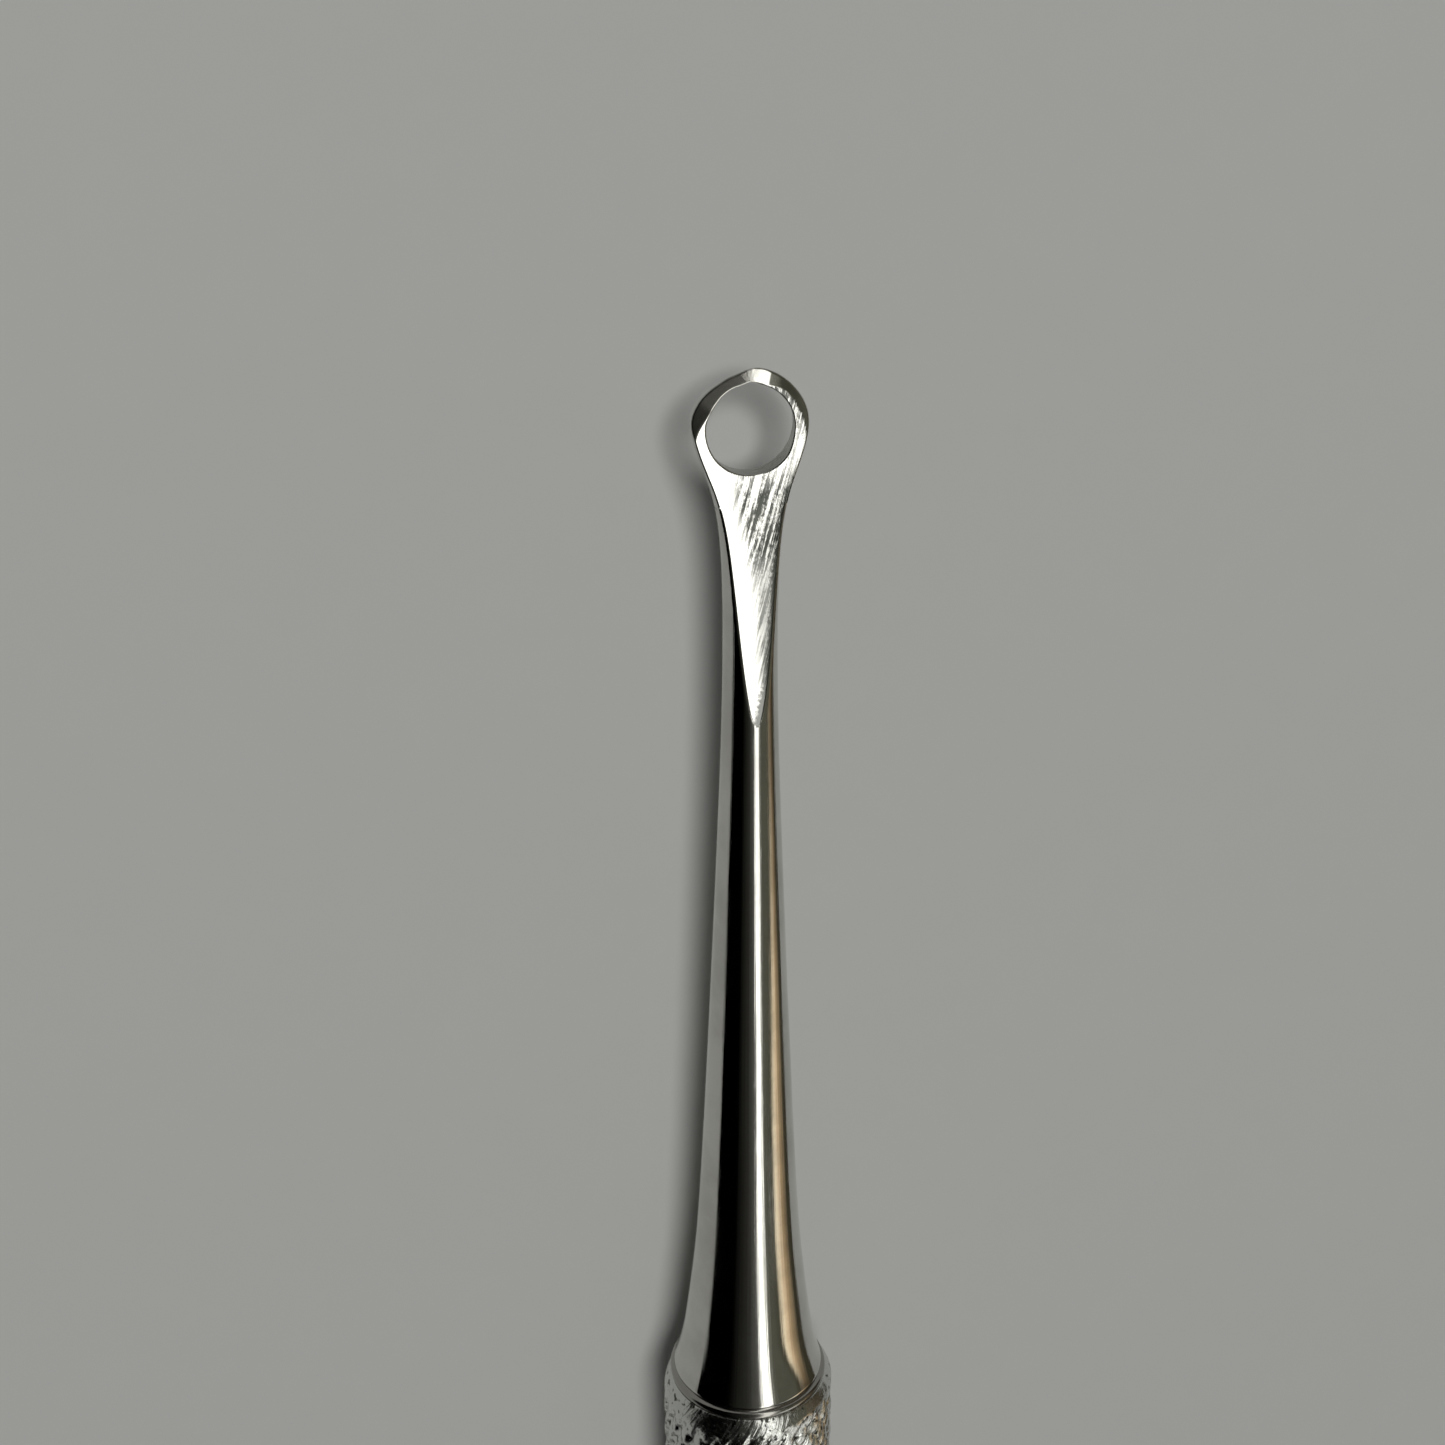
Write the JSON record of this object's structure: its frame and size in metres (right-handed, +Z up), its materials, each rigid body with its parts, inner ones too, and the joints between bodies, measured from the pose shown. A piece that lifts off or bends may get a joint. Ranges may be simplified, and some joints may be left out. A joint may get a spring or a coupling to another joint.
{
  "type": "ring curette",
  "caption": "Slim hand tool with a small ground ring at its tip, a polished shank that flares like a trumpet, and a round diamond-knurled grip with a domed end.",
  "frame": {"origin": "centre of the bounding box in plan, on the surface that the grip rests on", "axes": "+X along the tool towards the ring tip, +Z up, the way the ground face of the ring looks; the tool's own axis is 3.5 mm above the origin"},
  "size_m": [0.145, 0.007, 0.007],
  "materials": {
    "polished_steel": "mirror polished with fine lengthwise marks; ground face scratched",
    "knurled_steel": "diamond knurl, worn bright on the crests, darker between them",
    "bush_steel": "as turned",
    "plug_steel": "satin turned"
  },
  "bodies": {
    "root": {"ring_tip": "polished_steel", "grip_tube": "knurled_steel", "socket_bush": "bush_steel", "end_plug": "plug_steel"}
  },
  "joints": []
}
